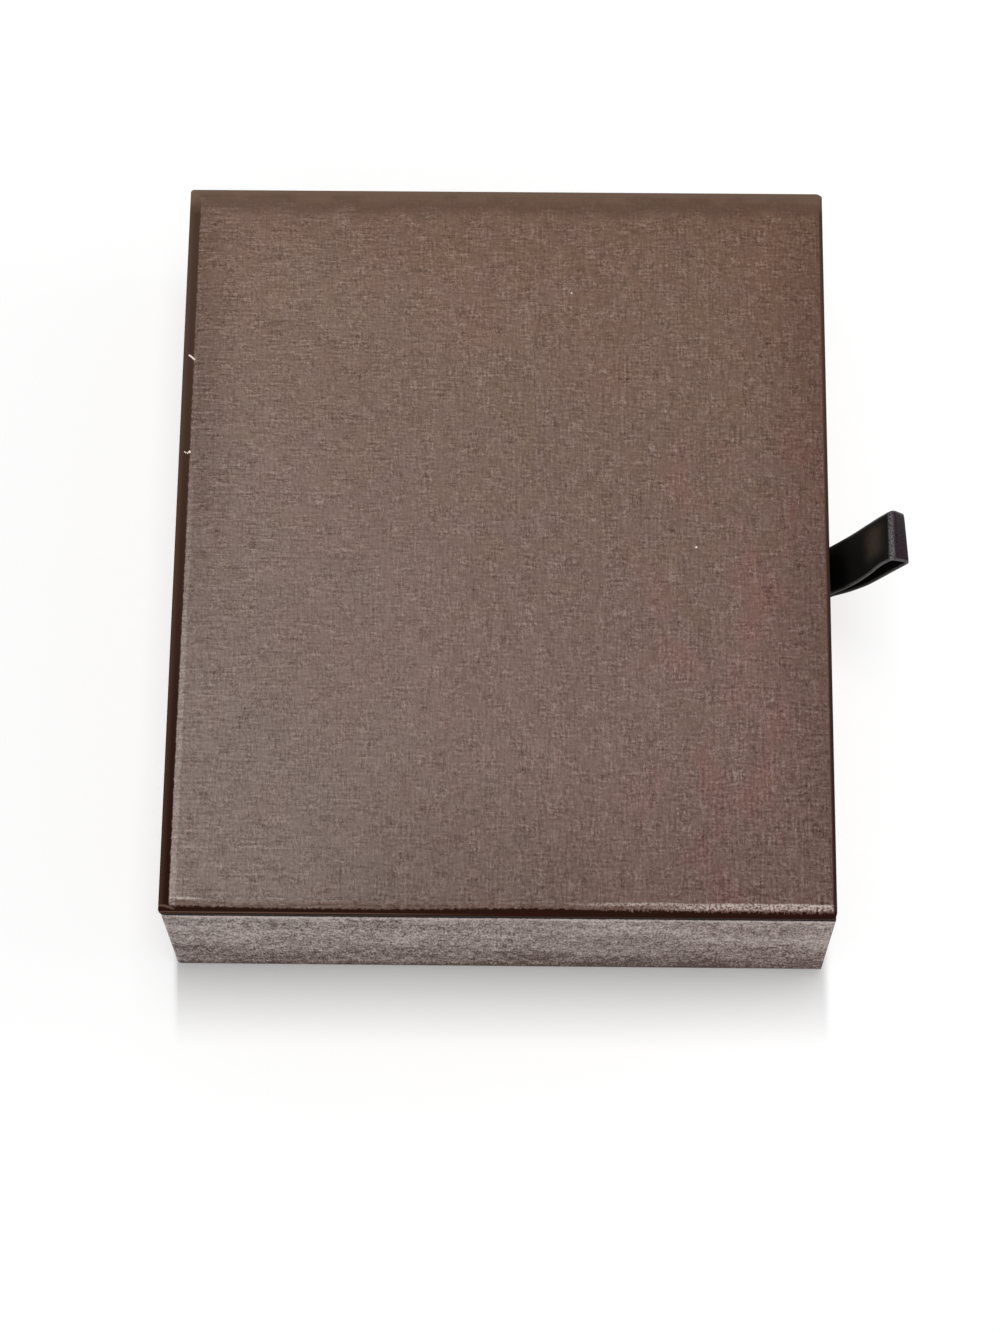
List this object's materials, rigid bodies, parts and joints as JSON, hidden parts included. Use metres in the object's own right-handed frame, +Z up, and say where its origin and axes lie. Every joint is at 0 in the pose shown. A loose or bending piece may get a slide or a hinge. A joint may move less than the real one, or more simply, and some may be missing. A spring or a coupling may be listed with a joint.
{
  "type": "sliding drawer gift box",
  "caption": "Flat rigid gift box in brown linen-embossed paper, with a drawer that slides out of one end by a black ribbon loop.",
  "frame": {"origin": "centre of the flat sheet under the case, on the surface that the box stands on", "axes": "+X the way the drawer slides out, +Z up, -Y toward the long front side"},
  "size_m": [0.1421, 0.151, 0.0424],
  "materials": {
    "greyboard": "bare pressed grey board",
    "brown_linen_paper": "linen-embossed brown paper, matt",
    "brown_lining_paper": "smooth brown paper, matt",
    "flocked_paper": "flocked brown paper, matt",
    "stay_tape": "gummed kraft tape",
    "black_ribbon": "black grosgrain ribbon, soft sheen"
  },
  "bodies": {
    "case": {"case_base_sheet": "brown_linen_paper", "case_floor_lining": "brown_lining_paper", "case_bottom_board": "greyboard", "case_front_board": "greyboard", "case_back_board": "greyboard", "case_end_board": "greyboard", "case_corner_stays": "stay_tape", "case_wrap_paper": "brown_linen_paper", "cover_board": "greyboard", "cover_paper": "brown_linen_paper", "cover_lining": "brown_lining_paper"},
    "drawer": {"drawer_base_board": "greyboard", "drawer_near_board": "greyboard", "drawer_far_board": "greyboard", "drawer_rear_board": "greyboard", "drawer_pull_board": "greyboard", "drawer_corner_stays": "stay_tape", "drawer_wrap_paper": "brown_linen_paper", "drawer_floor_card": "greyboard", "drawer_floor_cover": "flocked_paper", "pull_end_card": "brown_lining_paper", "ribbon_tails": "black_ribbon"},
    "pull_ribbon": {"ribbon_loop": "black_ribbon"}
  },
  "joints": [
    {"name": "drawer_slide", "type": "slide", "parent": "case", "child": "drawer", "axis": [1, 0, 0], "range_m": [0, 0.126]},
    {"name": "ribbon_fold", "type": "hinge", "parent": "drawer", "child": "pull_ribbon", "pos_m": [0.064, 0, 0.0205], "axis": [0, 1, 0], "range_deg": [-18, 95]}
  ]
}
